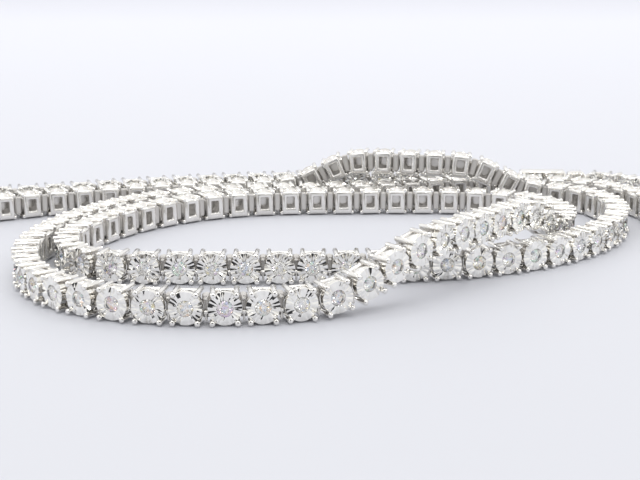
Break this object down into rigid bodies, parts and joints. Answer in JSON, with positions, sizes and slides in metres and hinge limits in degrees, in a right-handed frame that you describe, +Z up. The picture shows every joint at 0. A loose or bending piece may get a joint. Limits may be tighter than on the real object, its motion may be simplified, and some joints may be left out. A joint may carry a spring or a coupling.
{
  "type": "diamond tennis necklace",
  "caption": "Fine white-gold chain of square four-prong links, each with a small round diamond in a bright round plate, lying in loose loops on its edge.",
  "frame": {"origin": "middle of the necklace's plan box as it lies, on the surface under it", "axes": "+X to the right along the longest extent of the loops, -Y towards the front row of stones, +Z up"},
  "size_m": [0.0857, 0.0466, 0.0053],
  "materials": {
    "white_gold": "polished white gold of the prongs, galleries, hinges and clasp, with fine handling scratches",
    "bright_cut_plate": "mirror-bright faceted white gold of the round plate about each stone",
    "diamond": "colourless round brilliant, polished facets with small coloured flashes"
  },
  "bodies": {
    "root": {"clasp": "white_gold", "right_loop": "white_gold", "back_right": "white_gold", "back_left": "white_gold", "outer_bend": "white_gold", "front_row": "white_gold", "front_crossing": "white_gold", "right_turn": "white_gold", "centre_back": "white_gold", "inner_bend": "white_gold", "centre_front": "white_gold", "right_bend": "white_gold", "back_crossing": "white_gold", "rear_middle": "white_gold", "left_turn": "white_gold", "rear_left": "white_gold", "rear_right": "white_gold"}
  },
  "joints": []
}
